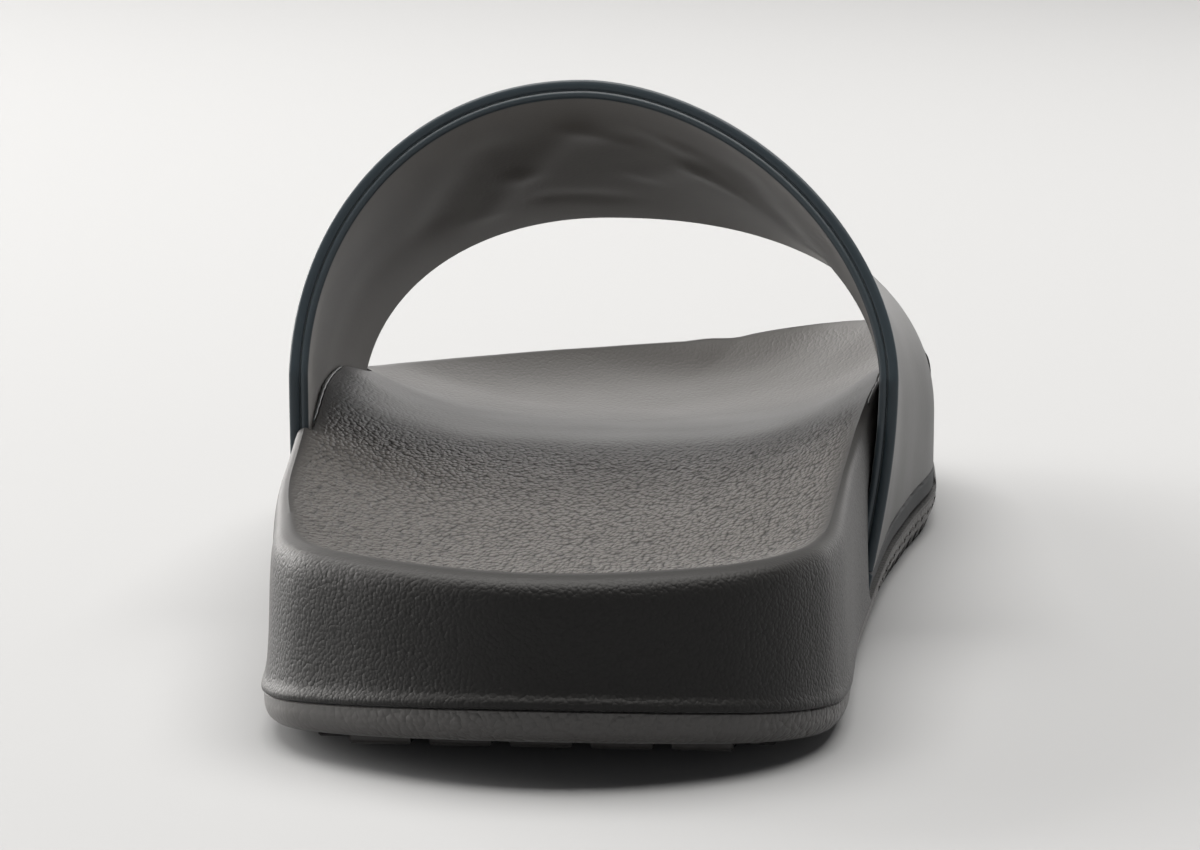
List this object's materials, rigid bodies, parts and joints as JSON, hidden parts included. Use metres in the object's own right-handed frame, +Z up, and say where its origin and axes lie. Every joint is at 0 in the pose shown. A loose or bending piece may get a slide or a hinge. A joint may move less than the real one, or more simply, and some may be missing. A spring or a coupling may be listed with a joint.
{
  "type": "sport slide sandal",
  "caption": "Left slide sandal with one wide padded strap over the instep, a moulded foam footbed with heel cup and arch, and a thin treaded outsole",
  "frame": {"origin": "on the floor, under the middle of the shoe's bounding box", "axes": "+Y runs from the heel to the toe, +X to the medial side (the big toe of a left foot), +Z up"},
  "size_m": [0.108, 0.28, 0.086],
  "materials": {
    "outsole_foam": "matt moulded dense foam, fine grain on the side band",
    "midsole_foam": "moulded foam with a leather-like grain, satin sheen",
    "strap_skin": "smooth coated synthetic leather, soft gloss, brown-grey satin lining"
  },
  "bodies": {
    "root": {"outsole": "outsole_foam", "midsole": "midsole_foam", "strap": "strap_skin"}
  },
  "joints": []
}
